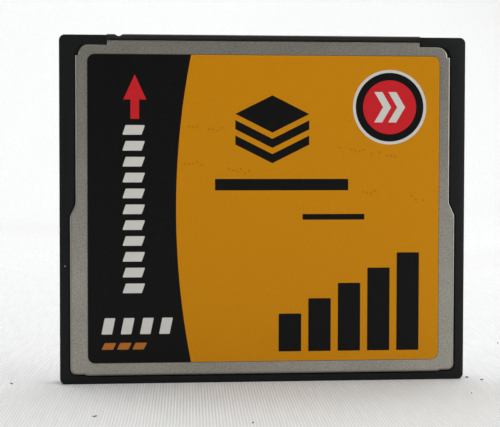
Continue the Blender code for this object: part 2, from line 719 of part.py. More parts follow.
def make_chip(name, length, width, end_leads, side_leads, height):
    """A moulded chip lying on z = 0, with bent leads along its ends and its sides."""
    bm = bmesh.new()
    parting = (CHIP_STANDOFF + height) / 2
    loops = []
    for z, draft in ((CHIP_STANDOFF, CHIP_DRAFT), (parting, 0), (height, CHIP_DRAFT)):
        x = length / 2 - draft
        y = width / 2 - draft
        loops.append([bm.verts.new((dx, dy, z)) for dx, dy in ((-x, -y), (x, -y), (x, y), (-x, y))])
    bm.faces.new(loops[0][::-1])
    bm.faces.new(loops[-1])
    for lower, upper in zip(loops, loops[1:]):
        for i in range(4):
            bm.faces.new((lower[i - 1], lower[i], upper[i], upper[i - 1]))
    chip = place(name, bm, CHIP)

    bm = bmesh.new()
    foot = GLUE_LINE + LEAD_SHEET / 2
    for turn, reach, count in (
        (0, length / 2, end_leads),
        (pi, length / 2, end_leads),
        (pi / 2, width / 2, side_leads),
        (-pi / 2, width / 2, side_leads),
    ):
        tip = reach + LEAD_REACH
        path = [(reach - LEAD_ROOT, parting), (tip - LEAD_FOOT, foot), (tip, foot)]
        for i in range(count):
            across = (i - (count - 1) / 2) * LEAD_PITCH - LEAD_WIDTH / 2
            outline = [bm.verts.new((u, across, v)) for u, v in strip_profile(path, LEAD_SHEET)]
            lead = extrude(bm, [bm.faces.new(outline)], (0, LEAD_WIDTH, 0))
            ends = set(outline) | {v for face in lead for v in face.verts}
            bmesh.ops.rotate(bm, verts=list(ends), cent=(0, 0, 0), matrix=Matrix.Rotation(turn, 3, "Z"))
    combine(chip, place(name + "_leads", bm, GOLD, helper=True), "UNION")
    return chip


def solder_down(chip, x, z, side):
    """Turns a chip to stand on the front (-1) or the back (1) of the board."""
    face = BOARD_FRONT if side < 0 else BOARD_BACK
    for obj in (chip, chip.modifiers[0].object):
        obj.rotation_euler = (pi / 2, 0, 0 if side < 0 else pi)
        obj.location = (x, face, z)


def make_chips():
    front_height = BOARD_FRONT - FRONT_STEEL_INSIDE - CHIP_HEADROOM
    back_height = BACK_STEEL_INSIDE - BOARD_BACK - CHIP_HEADROOM
    leads = lead_count(FLASH_WIDTH, FLASH_LEAD_CORNER)
    flash_front = make_chip("flash_chip_front", FLASH_WIDTH, FLASH_LENGTH, 0, leads, front_height)
    solder_down(flash_front, FLASH_X, CHIP_MIDDLE, -1)
    flash_rear = make_chip("flash_chip_rear", FLASH_WIDTH, FLASH_LENGTH, 0, leads, back_height)
    solder_down(flash_rear, FLASH_X, CHIP_MIDDLE, 1)
    leads = lead_count(CONTROLLER_SIDE, CONTROLLER_LEAD_CORNER)
    controller = make_chip("controller_chip", CONTROLLER_SIDE, CONTROLLER_SIDE, leads, leads, front_height)
    solder_down(controller, CONTROLLER_X, CHIP_MIDDLE, -1)
    return [flash_front, flash_rear, controller]


# Printed film: amber, with a black field on its left, a badge and plain marks, each ink a thin raised coat

def film_point(from_left, from_top):
    return (from_left - CARD_WIDTH / 2, CARD_LENGTH - from_top)


def leaning(left, top, width, height, lean=LEAN):
    """A bar whose top stands to the right of its foot by the lean."""
    x, z = film_point(left, top)
    return [(x, z - height), (x + width, z - height), (x + width + lean, z), (x + lean, z)]


def row_of_bars(count, left, top, width, height, step_right, step_down):
    return [leaning(left + i * step_right, top + i * step_down, width, height) for i in range(count)]


def black_field():
    """The left part of the film. Its right edge is a shallow arc that bulges to the left."""
    left, top = film_point(FILM_LEFT, FILM_TOP)
    edge, _ = film_point(FIELD_EDGE, FILM_TOP)
    foot = top - FILM_HEIGHT
    middle = (top + foot) / 2
    radius = (FILM_HEIGHT ** 2 / 4 + FIELD_SAGITTA ** 2) / (2 * FIELD_SAGITTA)
    centre = edge - FIELD_SAGITTA + radius
    steps = 2 * ARC_STEPS
    heights = [foot + FILM_HEIGHT * step / steps for step in range(steps + 1)]
    arc = [(centre - (radius ** 2 - (z - middle) ** 2) ** 0.5, z) for z in heights]
    corners = rounded([(left, top, FILM_RADIUS), (left, foot, FILM_RADIUS), (edge, foot, 0), (edge, top, 0)])
    return corners[:-2] + arc


def arrow():
    x, z = film_point(ARROW_X, ARROW_TOP)
    neck = z - ARROW_HEAD
    foot = z - ARROW_HEIGHT
    right = [(ARROW_STEM / 2, foot), (ARROW_STEM / 2, neck), (ARROW_WIDTH / 2, neck)]
    left = [(-dx, height) for dx, height in reversed(right)]
    return [(x + dx, height) for dx, height in [*right, (0, z), *left]]


def chevron(shift):
    """An arrow head that points right, moved sideways from the badge's centre."""
    x, z = film_point(BADGE_X, BADGE_FROM_TOP)
    left = x + shift - (CHEVRON_ARM + CHEVRON_REACH) / 2
    rise = CHEVRON_HEIGHT / 2
    return [
        (left, z - rise),
        (left + CHEVRON_ARM, z - rise),
        (left + CHEVRON_ARM + CHEVRON_REACH, z),
        (left + CHEVRON_ARM, z + rise),
        (left, z + rise),
        (left + CHEVRON_REACH, z),
    ]


def stack():
    """A square plate seen over its corner, with the near edges of more plates below it."""
    x, z = film_point(STACK_X, STACK_FROM_TOP)
    reach, rise = STACK_WIDTH / 2, STACK_PLATE / 2
    side = z + (STACK_PLATES - 1) / 2 * STACK_PITCH
    outlines = [[(x - reach, side), (x, side - rise), (x + reach, side), (x, side + rise)]]
    for _ in range(1, STACK_PLATES):
        side -= STACK_PITCH
        near = [(x - reach, side), (x, side - rise), (x + reach, side)]
        outlines.append(near + [(dx, height + STACK_BAND) for dx, height in reversed(near)])
    return outlines


def ink(name, outlines, layer, material, film):
    """Prints the outlines on the film as one coat, which stands as high as its layer."""
    bm = bmesh.new()
    for outline in outlines:
        prism(bm, outline, FILM_FACE - layer * INK, FILM_FACE + INK_ROOT + layer * INK / 2)
    combine(film, place(name, bm, material, helper=True), "UNION")


def make_film():
    left, top = film_point(FILM_LEFT, FILM_TOP)
    corners = box_outline(left, left + FILM_WIDTH, top - FILM_HEIGHT, top)
    bm = bmesh.new()
    prism(bm, rounded([(x, z, FILM_RADIUS) for x, z in corners]), FILM_FACE, FILM_BACK)
    film = place("front_label", bm, AMBER)

    rules = [
        leaning(LONG_RULE_LEFT, LONG_RULE_TOP, LONG_RULE, LONG_RULE_HEIGHT, lean=0),
        leaning(SHORT_RULE_LEFT, SHORT_RULE_TOP, SHORT_RULE, SHORT_RULE_HEIGHT, lean=0),
    ]
    levels = []
    for i in range(LEVELS):
        height = LEVEL_FIRST + i * LEVEL_STEP
        level_left = LEVEL_LEFT + i * LEVEL_PITCH
        levels.append(leaning(level_left, LEVEL_FOOT - height, LEVEL_WIDTH, height, lean=0))
    ladder = row_of_bars(LADDER_BARS, LADDER_LEFT, LADDER_TOP, LADDER_WIDTH, LADDER_BAR, 0, LADDER_PITCH)
    ticks = row_of_bars(TICKS, TICK_LEFT, TICK_TOP, TICK_WIDTH, TICK_HEIGHT, TICK_PITCH, 0)
    dashes = row_of_bars(DASHES, TICK_LEFT, DASH_TOP, DASH_WIDTH, DASH_HEIGHT, DASH_PITCH, 0)
    badge = film_point(BADGE_X, BADGE_FROM_TOP)
    chevrons = [chevron(-CHEVRON_PITCH / 2), chevron(CHEVRON_PITCH / 2)]

    ink("black_marks", [black_field(), *stack(), *rules, *levels], 1, BLACK_INK, film)
    ink("badge_edge", [disc_outline(*badge, BADGE_EDGE)], 1, WHITE_INK, film)
    ink("badge_ring", [disc_outline(*badge, BADGE_RING)], 2, BLACK_INK, film)
    ink("white_marks", [*ladder, *ticks], 2, WHITE_INK, film)
    ink("orange_marks", dashes, 2, ORANGE_INK, film)
    ink("red_marks", [disc_outline(*badge, BADGE_DISC), arrow()], 3, RED_INK, film)
    ink("badge_chevrons", chevrons, 4, WHITE_INK, film)
    return film


card = bpy.data.objects.new("memory_card", None)
bpy.context.scene.collection.objects.link(card)
pieces = [
    make_frame(),
    make_cover("front_cover", FRONT_STEEL, 1),
    make_cover("rear_cover", BACK_STEEL, -1),
    make_film(),
    make_socket_block(),
    make_board(),
    *make_chips(),
    *make_contacts(),
]
for piece in pieces:
    piece.parent = card
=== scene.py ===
"""Looks of a 50-contact memory card that stands on its plain edge, with its sockets up.

The sections follow the card as it is put together: the moulded frame, the socket block and its contacts,
the circuit board, the two steel covers and the printed film. The cloth that it stands on, the lights and
the camera come last. Lengths are in metres. +X runs along the sockets, -Y out of the printed face, and
+Z is up.
"""

import random
from math import cos, pi, radians, sin, tan

import bmesh
import bpy
from mathutils import Matrix, Vector


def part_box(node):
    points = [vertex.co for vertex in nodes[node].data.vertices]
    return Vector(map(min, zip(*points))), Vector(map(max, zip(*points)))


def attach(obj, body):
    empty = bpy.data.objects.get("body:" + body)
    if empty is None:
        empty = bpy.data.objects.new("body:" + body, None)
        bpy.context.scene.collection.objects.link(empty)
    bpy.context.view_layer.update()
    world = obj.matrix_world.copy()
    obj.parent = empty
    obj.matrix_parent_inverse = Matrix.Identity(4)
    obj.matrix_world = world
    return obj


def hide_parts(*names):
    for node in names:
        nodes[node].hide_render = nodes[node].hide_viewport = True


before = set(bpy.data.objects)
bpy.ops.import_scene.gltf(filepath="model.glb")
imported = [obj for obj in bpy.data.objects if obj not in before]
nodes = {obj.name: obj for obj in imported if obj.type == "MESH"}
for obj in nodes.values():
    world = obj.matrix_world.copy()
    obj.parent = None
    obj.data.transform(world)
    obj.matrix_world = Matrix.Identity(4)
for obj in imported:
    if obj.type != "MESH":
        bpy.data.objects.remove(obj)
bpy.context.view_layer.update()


# Moulded frame
# One ring of black glass-filled polyester holds every other part of the card. It is moulded in a
# spark-eroded tool, so its skin is an even matt grain, and use has left a little pale dust on it.

MOULD_GRAIN = 0.16e-3
MOULD_GRAIN_HEIGHT = 0.012e-3
FRAME_GRAIN_HEIGHT = 0.024e-3
FRAME_ROUGHNESS = (0.48, 0.62)
MOULD_SHADE = 3.5e-3
DUST_SPACING = 1.5e-3
DUST_SPECK = 0.055
DUSTY_SHARE = 0.16
FRAME_BLACK = "08090a"
FRAME_WORN_BLACK = "101313"
DUST_GREY = "8f9596"
ROUND_BELOW = radians(35)
WELD_DISTANCE = 1e-7


def linear(colour):
    """The linear RGBA of an sRGB colour written as six hex digits."""
    channels = [int(colour[i : i + 2], 16) / 255 for i in (0, 2, 4)]
    return (*[c / 12.92 if c <= 0.04045 else ((c + 0.055) / 1.055) ** 2.4 for c in channels], 1)


def add_node(tree, kind, sockets=None, **settings):
    """Adds a node. A socket, given by name or number, is linked where its value is a node's output."""
    node = tree.nodes.new(kind)
    for name, value in settings.items():
        setattr(node, name, value)
    for name, value in (sockets or {}).items():
        if isinstance(value, bpy.types.NodeSocket):
            tree.links.new(value, node.inputs[name])
        else:
            node.inputs[name].default_value = value
    return node


def start_material(name, shader_values):
    """A new material, with what is the same all over the surface set on its Principled shader."""
    material = bpy.data.materials.new(name)
    material.use_nodes = True
    shader = material.node_tree.nodes["Principled BSDF"]
    for socket, value in shader_values.items():
        shader.inputs[socket].default_value = value
    return material, material.node_tree, shader


def shade_round(piece):
    """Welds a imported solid's triangles and shades the steps of its rounded edges as one curve."""
    tree = bpy.data.node_groups.new(piece.name + " round shading", "GeometryNodeTree")
    tree.interface.new_socket("Mesh", in_out="INPUT", socket_type="NodeSocketGeometry")
    tree.interface.new_socket("Mesh", in_out="OUTPUT", socket_type="NodeSocketGeometry")
    solid = add_node(tree, "NodeGroupInput").outputs[0]
    plain = add_node(tree, "GeometryNodeRemoveAttribute", {"Geometry": solid, "Name": "custom_normal"})
    welded = add_node(tree, "GeometryNodeMergeByDistance", {
        "Geometry": plain.outputs[0], "Distance": WELD_DISTANCE,
    })
    bend = add_node(tree, "GeometryNodeInputMeshEdgeAngle").outputs["Unsigned Angle"]
    sharp = add_node(tree, "FunctionNodeCompare", {0: bend, 1: ROUND_BELOW}, operation="GREATER_THAN")
    creased = add_node(tree, "GeometryNodeSetShadeSmooth", {
        "Geometry": welded.outputs[0], "Selection": sharp.outputs[0], "Shade Smooth": False,
    }, domain="EDGE")
    smooth = add_node(tree, "GeometryNodeSetShadeSmooth", {
        "Geometry": creased.outputs[0], "Shade Smooth": True,
    }, domain="FACE")
    add_node(tree, "NodeGroupOutput", {0: smooth.outputs[0]})
    piece.modifiers.new("round shading", "NODES").node_group = tree


# Black glass-filled polyester: matt, with a grain that breaks up every reflection. The real grain is about
# 0.05 mm, too fine to show, so it is drawn three times as coarse.
polyester, tree, shader = start_material("moulded black polyester", {
    "IOR": 1.55,
    "Specular IOR Level": 0.2,
})
place = add_node(tree, "ShaderNodeTexCoord").outputs["Object"]
shade = add_node(tree, "ShaderNodeTexNoise", {
    "Vector": place, "Scale": 1 / MOULD_SHADE, "Detail": 6, "Roughness": 0.7,
})
body_colour = add_node(tree, "ShaderNodeMix", {
    0: shade.outputs["Fac"], 6: linear(FRAME_BLACK), 7: linear(FRAME_WORN_BLACK),
}, data_type="RGBA")
specks = add_node(tree, "ShaderNodeTexVoronoi", {"Vector": place, "Scale": 1 / DUST_SPACING})
near_speck = add_node(tree, "ShaderNodeMath", {
    0: specks.outputs["Distance"], 1: DUST_SPECK,
}, operation="LESS_THAN")
lot = add_node(tree, "ShaderNodeSeparateColor", {0: specks.outputs["Color"]})
chosen = add_node(tree, "ShaderNodeMath", {0: lot.outputs[0], 1: DUSTY_SHARE}, operation="LESS_THAN")
dusty = add_node(tree, "ShaderNodeMath", {
    0: near_speck.outputs[0], 1: chosen.outputs[0],
}, operation="MULTIPLY")
dusted_colour = add_node(tree, "ShaderNodeMix", {
    0: dusty.outputs[0], 6: body_colour.outputs[2], 7: linear(DUST_GREY),
}, data_type="RGBA")
grain = add_node(tree, "ShaderNodeTexNoise", {"Vector": place, "Scale": 1 / MOULD_GRAIN, "Detail": 2})
relief = add_node(tree, "ShaderNodeBump", {
    "Strength": 0.9, "Distance": FRAME_GRAIN_HEIGHT, "Height": grain.outputs["Fac"],
})
gloss = add_node(tree, "ShaderNodeMapRange", {
    0: shade.outputs["Fac"], 3: FRAME_ROUGHNESS[0], 4: FRAME_ROUGHNESS[1],
})
tree.links.new(dusted_colour.outputs[2], shader.inputs["Base Color"])
tree.links.new(relief.outputs[0], shader.inputs["Normal"])
tree.links.new(gloss.outputs[0], shader.inputs["Roughness"])

nodes["frame"].data.materials[0] = polyester
shade_round(nodes["frame"])


# Socket block
# The strip with two rows of square sockets is a separate moulding of black liquid crystal polymer. It
# drops between the frame's arms, and the covers close over the ears at its ends.

FLOW_LINE = 0.22e-3
FLOW_RUN = 5e-3
BLOCK_ROUGHNESS = (0.34, 0.5)
BLOCK_BLACK = "1b1a18"
BLOCK_PALE = "2a2824"

# Liquid crystal polymer: a smoother and slightly browner black, with faint streaks where the melt flowed
crystal_polymer, tree, shader = start_material("moulded liquid crystal polymer", {
    "IOR": 1.6,
    "Specular IOR Level": 0.25,
})
place = add_node(tree, "ShaderNodeTexCoord").outputs["Object"]
along = add_node(tree, "ShaderNodeMapping", {
    "Vector": place, "Scale": (1 / FLOW_RUN, 1 / FLOW_LINE, 1 / FLOW_LINE),
})
streaks = add_node(tree, "ShaderNodeTexNoise", {"Vector": along.outputs[0], "Scale": 1, "Detail": 3})
streaky = add_node(tree, "ShaderNodeMix", {
    0: streaks.outputs["Fac"], 6: linear(BLOCK_BLACK), 7: linear(BLOCK_PALE),
}, data_type="RGBA")
gloss = add_node(tree, "ShaderNodeMapRange", {
    0: streaks.outputs["Fac"], 3: BLOCK_ROUGHNESS[0], 4: BLOCK_ROUGHNESS[1],
})
relief = add_node(tree, "ShaderNodeBump", {
    "Strength": 0.25, "Distance": MOULD_GRAIN_HEIGHT, "Height": streaks.outputs["Fac"],
})
tree.links.new(streaky.outputs[2], shader.inputs["Base Color"])
tree.links.new(gloss.outputs[0], shader.inputs["Roughness"])
tree.links.new(relief.outputs[0], shader.inputs["Normal"])

nodes["connector_housing"].data.materials[0] = crystal_polymer
shade_round(nodes["connector_housing"])


# Contacts
# Fifty springs stamped from phosphor bronze strip and plated with gold. Each stem passes through the
# block's floor, and its tail is soldered to a pad on the board.

PLATING_GRAIN = 0.15e-3
GOLD_ROUGHNESS = (0.18, 0.34)
GOLD = "dcb35c"

# Gold over bronze: a bright warm metal, slightly uneven from the rolled strip under the plating. The
# strip's grain is drawn coarser than it is, so that it shows.
gold_plate, tree, shader = start_material("gold plated bronze", {
    "Base Color": linear(GOLD),
    "Metallic": 1.0,
})
place = add_node(tree, "ShaderNodeTexCoord").outputs["Object"]
grain = add_node(tree, "ShaderNodeTexNoise", {"Vector": place, "Scale": 1 / PLATING_GRAIN, "Detail": 2})
gloss = add_node(tree, "ShaderNodeMapRange", {
    0: grain.outputs["Fac"], 3: GOLD_ROUGHNESS[0], 4: GOLD_ROUGHNESS[1],
})
tree.links.new(gloss.outputs[0], shader.inputs["Roughness"])

for name, node in nodes.items():
    if name.startswith("contact_"):
        node.data.materials[0] = gold_plate


# Circuit board and chips
# A half-millimetre board of glass cloth and epoxy under green lacquer rests on the frame's ledge. The
# chips and the small capacitors between them are soldered to it, front and back.

BOARD_FACES = (-0.32e-3, 0.18e-3)
PROUD_OF_BOARD = 0.01e-3
CLOTH_THREAD = 0.45e-3
CLOTH_THREAD_HEIGHT = 0.01e-3
TRACK_PITCH = 0.5e-3
TRACK_LEVEL = 0.62
WAVE_BANDS_PER_METRE = 20 / (2 * pi)
LACQUER = "174d2c"
LACQUER_ON_TRACK = "2a6f3e"
CERAMIC = "8c7355"
RESIN = "1b1b1c"
TIN = "b9b7b0"
RESIN_ROUGHNESS = 0.6
TIN_ROUGHNESS = 0.3
LEAD_REACH = 0.8e-3

# Solder lacquer: glossy dark green, paler where it covers a copper track. The small parts that stand
# proud of it are dull brown ceramic.
lacquer, tree, shader = start_material("green solder lacquer", {"IOR": 1.5, "Roughness": 0.3})
place = add_node(tree, "ShaderNodeTexCoord").outputs["Object"]
axes = add_node(tree, "ShaderNodeSeparateXYZ", {0: place})
tracks = add_node(tree, "ShaderNodeTexWave", {
    "Vector": place,
    "Scale": 1 / TRACK_PITCH / WAVE_BANDS_PER_METRE,
    "Distortion": 1.5,
    "Detail Scale": 60,
}, bands_direction="X")
on_track = add_node(tree, "ShaderNodeMath", {
    0: tracks.outputs["Fac"], 1: TRACK_LEVEL,
}, operation="GREATER_THAN")
lacquered = add_node(tree, "ShaderNodeMix", {
    0: on_track.outputs[0], 6: linear(LACQUER), 7: linear(LACQUER_ON_TRACK),
}, data_type="RGBA")
middle = sum(BOARD_FACES) / 2
from_middle = add_node(tree, "ShaderNodeMath", {0: axes.outputs["Y"], 1: middle}, operation="SUBTRACT")
height = add_node(tree, "ShaderNodeMath", {0: from_middle.outputs[0]}, operation="ABSOLUTE")
proud = add_node(tree, "ShaderNodeMath", {
    0: height.outputs[0], 1: BOARD_FACES[1] - middle + PROUD_OF_BOARD,
}, operation="GREATER_THAN")
board_colour = add_node(tree, "ShaderNodeMix", {
    0: proud.outputs[0], 6: lacquered.outputs[2], 7: linear(CERAMIC),
}, data_type="RGBA")
glass_cloth = add_node(tree, "ShaderNodeTexChecker", {"Vector": place, "Scale": 1 / CLOTH_THREAD})
relief = add_node(tree, "ShaderNodeBump", {
    "Strength": 0.1, "Distance": CLOTH_THREAD_HEIGHT, "Height": glass_cloth.outputs["Fac"],
})
tree.links.new(board_colour.outputs[2], shader.inputs["Base Color"])
tree.links.new(relief.outputs[0], shader.inputs["Normal"])
nodes["circuit_board"].data.materials[0] = lacquer

for name in ("flash_chip_front", "flash_chip_rear", "controller_chip"):
    low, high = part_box(name)
    # Epoxy resin: dull charcoal with a fine sandy skin. The leads that stand out past it are bright tin
    chip_resin, tree, shader = start_material(name.replace("_", " ") + " resin", {"IOR": 1.55})
    place = add_node(tree, "ShaderNodeTexCoord").outputs["Object"]
    axes = add_node(tree, "ShaderNodeSeparateXYZ", {0: place})
    outside = None
    for axis, first, last in (("X", low.x, high.x), ("Z", low.z, high.z)):
        if axis == "X" and name != "controller_chip":
            continue
        offset = add_node(tree, "ShaderNodeMath", {
            0: axes.outputs[axis], 1: (first + last) / 2,
        }, operation="SUBTRACT")
        away = add_node(tree, "ShaderNodeMath", {0: offset.outputs[0]}, operation="ABSOLUTE")
        reach = (last - first) / 2 - LEAD_REACH
        past = add_node(tree, "ShaderNodeMath", {0: away.outputs[0], 1: reach}, operation="GREATER_THAN")
        if outside:
            past = add_node(tree, "ShaderNodeMath", {0: past.outputs[0], 1: outside}, operation="MAXIMUM")
        outside = past.outputs[0]
    chip_colour = add_node(tree, "ShaderNodeMix", {
        0: outside, 6: linear(RESIN), 7: linear(TIN),
    }, data_type="RGBA")
    grain = add_node(tree, "ShaderNodeTexNoise", {"Vector": place, "Scale": 1 / MOULD_GRAIN, "Detail": 2})
    relief = add_node(tree, "ShaderNodeBump", {
        "Strength": 0.3, "Distance": MOULD_GRAIN_HEIGHT, "Height": grain.outputs["Fac"],
    })
    gloss = add_node(tree, "ShaderNodeMapRange", {0: outside, 3: RESIN_ROUGHNESS, 4: TIN_ROUGHNESS})
    tree.links.new(chip_colour.outputs[2], shader.inputs["Base Color"])
    tree.links.new(outside, shader.inputs["Metallic"])
    tree.links.new(gloss.outputs[0], shader.inputs["Roughness"])
    tree.links.new(relief.outputs[0], shader.inputs["Normal"])
    nodes[name].data.materials[0] = chip_resin


# Steel covers
# Two lids are blanked from thin stainless strip, and their sides and foot are folded into slots in the
# frame. The punch rolls each cut edge over a little. These edges and the folds catch the light as a pale
# line round the sheet.

STEEL = 0.15e-3
FOLD_INSIDE = 0.1e-3
FOLD_OUTSIDE = FOLD_INSIDE + STEEL
FOLD_STEPS = 10
EDGE_ROLL = 0.12e-3
EDGE_ROLL_STEPS = 4
TAB_HALF = 16.46e-3
TAB_STEP = 0.52e-3
SHOULDER_IN = 0.6e-3
SHOULDER_FROM_TAB = (17.02e-3, 18.27e-3)
SHOULDER_RADIUS = 0.7e-3
SIDE_FOLD_FROM_TAB = 1.62e-3
TOP_CORNER = 1.0e-3
TOP_CORNER_IN = 0.38e-3
FOOT_CORNER = 0.68e-3
FOOT_CORNER_RISE = 0.13e-3
CORNER_STEP = 0.1e-3
FOOT_FOLD_INSET = 1.8e-3
FOOT_STEP = 0.3e-3
CORNER_STEPS = 12
STEEL_GREY = "9b978e"
STEEL_PALE = "c8c4bb"
STEEL_GRAIN = 0.14e-3
STEEL_GRAIN_HEIGHT = 0.006e-3
STEEL_CLOUD = 5e-3
STEEL_CLOUD_SHARE = 0.2
STEEL_ROUGHNESS = (0.33, 0.45)
# The punched edges' paler colour is a painted highlight
EDGE_PAINTED_GLINT = "bab2ab"
EDGE_ROUGHNESS = (0.24, 0.38)
EDGE_SLOT = 1
# The folds' darker grey is painted shade
FOLD_SHADED_GREY = "918c84"
FOLD_ROUGHNESS = 0.42
FOLD_SLOT = 2


def rounded(corners, steps=CORNER_STEPS):
    """The outline through (x, z, radius) corners, with an arc at each corner that has a radius."""
    points = []
    for i, (x, z, radius) in enumerate(corners):
        here = Vector((x, z))
        if radius == 0:
            points.append(here)
            continue
        back = (Vector(corners[i - 1][:2]) - here).normalized()
        on = (Vector(corners[(i + 1) % len(corners)][:2]) - here).normalized()
        half_angle = back.angle(on) / 2
        centre = here + (back + on).normalized() * radius / sin(half_angle)
        start = (here + back * radius / tan(half_angle) - centre).normalized()
        end = (here + on * radius / tan(half_angle) - centre).normalized()
        points += [centre + start.slerp(end, step / steps) * radius for step in range(steps + 1)]
    return points


def push_out(bm, faces, shift):
    """Extrudes the faces by the shift, and returns the faces at the far end."""
    edges = {edge for face in faces for edge in face.edges}
    grown = bmesh.ops.extrude_face_region(bm, geom=[*faces, *edges])["geom"]
    bmesh.ops.translate(bm, verts=[v for v in grown if isinstance(v, bmesh.types.BMVert)], vec=shift)
    return [f for f in grown if isinstance(f, bmesh.types.BMFace)]


def slab(bm, outline, front, back):
    """A flat solid with this (x, z) outline, from one depth of the card to another."""
    face = bm.faces.new([bm.verts.new((x, front, z)) for x, z in outline])
    push_out(bm, [face], (0, back - front, 0))


def finish_piece(name, bm, material):
    """Puts a made piece in the scene, riding on the card and drawing its finish from a named slot."""
    bmesh.ops.recalc_face_normals(bm, faces=bm.faces)
    mesh = bpy.data.meshes.new(name)
    bm.to_mesh(mesh)
    bm.free()
    mesh.materials.append(material)
    mesh.shade_smooth()
    mesh.set_sharp_from_angle(angle=ROUND_BELOW)
    piece = bpy.data.objects.new(name, mesh)
    flat_faces = piece.modifiers.new("flat faces stay flat", "WEIGHTED_NORMAL")
    flat_faces.keep_sharp = True
    bpy.context.scene.collection.objects.link(piece)
    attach(piece, "root")
    return piece


# Stainless steel with a rolled matt finish: a soft warm grey with a fine sparkle and slow cloudy changes.
# The sparkle's grains are drawn about three times as coarse as they are, so that they show.
stainless, tree, shader = start_material("matt rolled stainless steel", {"Metallic": 1.0})
place = add_node(tree, "ShaderNodeTexCoord").outputs["Object"]
grain = add_node(tree, "ShaderNodeTexNoise", {
    "Vector": place, "Scale": 1 / STEEL_GRAIN, "Detail": 3, "Roughness": 0.6,
})
cloud = add_node(tree, "ShaderNodeTexNoise", {"Vector": place, "Scale": 1 / STEEL_CLOUD, "Detail": 3})
mottle = add_node(tree, "ShaderNodeMix", {
    0: STEEL_CLOUD_SHARE, 2: grain.outputs["Fac"], 3: cloud.outputs["Fac"],
})
paleness = add_node(tree, "ShaderNodeMapRange", {0: mottle.outputs[0], 1: 0.35, 2: 0.65})
steel_colour = add_node(tree, "ShaderNodeMix", {
    0: paleness.outputs[0], 6: linear(STEEL_GREY), 7: linear(STEEL_PALE),
}, data_type="RGBA")
gloss = add_node(tree, "ShaderNodeMapRange", {
    0: grain.outputs["Fac"], 3: STEEL_ROUGHNESS[0], 4: STEEL_ROUGHNESS[1],
})
relief = add_node(tree, "ShaderNodeBump", {
    "Strength": 0.35, "Distance": STEEL_GRAIN_HEIGHT, "Height": grain.outputs["Fac"],
})
tree.links.new(steel_colour.outputs[2], shader.inputs["Base Color"])
tree.links.new(gloss.outputs[0], shader.inputs["Roughness"])
tree.links.new(relief.outputs[0], shader.inputs["Normal"])

# Steel burnished by the punch: smoother than the rolled face. Its paler colour is a painted highlight,
# so that it glints at the corners
burnished_with_painted_glint, tree, shader = start_material("burnished steel edge with painted glint", {
    "Base Color": linear(EDGE_PAINTED_GLINT),
    "Metallic": 1.0,
})
place = add_node(tree, "ShaderNodeTexCoord").outputs["Object"]
rubs = add_node(tree, "ShaderNodeTexNoise", {"Vector": place, "Scale": 1 / STEEL_GRAIN, "Detail": 2})
gloss = add_node(tree, "ShaderNodeMapRange", {
    0: rubs.outputs["Fac"], 3: EDGE_ROUGHNESS[0], 4: EDGE_ROUGHNESS[1],
})
tree.links.new(gloss.outputs[0], shader.inputs["Roughness"])

# Steel on the folds, darker than the flat face as painted shade, so that each fold is a soft line and no
# glint
shaded_fold, tree, shader = start_material("steel fold with painted shade", {
    "Base Color": linear(FOLD_SHADED_GREY),
    "Metallic": 1.0,
    "Roughness": FOLD_ROUGHNESS,
})


def mitres(path):
    """At each point of an open path, the step to its left that moves the path sideways by one."""
    runs = [(b - a).normalized() for a, b in zip(path, path[1:])]
    sides = [Vector((-run.y, run.x)) for run in runs]
    steps = [sides[0]]
    for before, after in zip(sides, sides[1:]):
        middle = (before + after).normalized()
        steps.append(middle / middle.dot(before))
    return steps + [sides[-1]]


def fold_over(bm, outer, inner, inward, straight):
    """Folds a flange over from an edge of the blank, whose corners are given on the sheet's two faces."""
    edge = [Vector((corner.co.x, corner.co.z)) for corner in outer]
    outward = [Vector((step.x, 0, step.y)) for step in mitres(edge)]
    section = [(pi / 2 * step / FOLD_STEPS, 0) for step in range(1, FOLD_STEPS + 1)]
    last = outer + inner[::-1]
    for turn, length in [*section, (pi / 2, straight)]:
        ring = []
        for corners, radius in ((outer, FOLD_OUTSIDE), (inner, FOLD_INSIDE)):
            reach = radius * sin(turn)
            drop = Vector((0, inward * (radius - radius * cos(turn) + length), 0))
            side = [corner.co + step * reach + drop for corner, step in zip(corners, outward)]
            ring.append([bm.verts.new(point) for point in side])
        ring = ring[0] + ring[1][::-1]
        for i in range(len(ring)):
            bm.faces.new((last[i - 1], last[i], ring[i], ring[i - 1])).material_index = FOLD_SLOT
        last = ring
    for i in range(len(outer) - 1):
        bm.faces.new((last[i], last[i + 1], last[-2 - i], last[-1 - i]))


def cover_blank(low, high):
    """The outline of a cover's flat face, and the run of it that is folded: both sides and the foot."""
    upper_half = high.x - SHOULDER_IN
    corner_half = upper_half - TOP_CORNER_IN
    arm_line = high.z - TAB_STEP
    fold_top = high.z - SIDE_FOLD_FROM_TAB
    shoulder_top, shoulder_foot = (high.z - drop for drop in SHOULDER_FROM_TAB)
    foot = low.z + FOOT_CORNER_RISE
    foot_half = high.x - FOOT_FOLD_INSET
    side = rounded([
        (upper_half, fold_top, 0),
        (upper_half, shoulder_top, SHOULDER_RADIUS),
        (high.x, shoulder_foot, SHOULDER_RADIUS),
        (high.x, foot, FOOT_CORNER),
        (foot_half + FOOT_STEP, foot, 0),
        (foot_half, low.z, 0),
    ])
    folded_line = side + [Vector((-point.x, point.y)) for point in reversed(side)]
    root = [point - step * FOLD_OUTSIDE for point, step in zip(folded_line, mitres(folded_line))]
    corner = [
        (TAB_HALF, high.z, 0),
        (TAB_HALF, arm_line, 0),
        (corner_half, arm_line, TOP_CORNER),
        (corner_half, fold_top + CORNER_STEP, 0),
    ]
    other_corner = [(-x, z, radius) for x, z, radius in reversed(corner)]
    return rounded([*corner, *[(x, z, 0) for x, z in root], *other_corner]), root


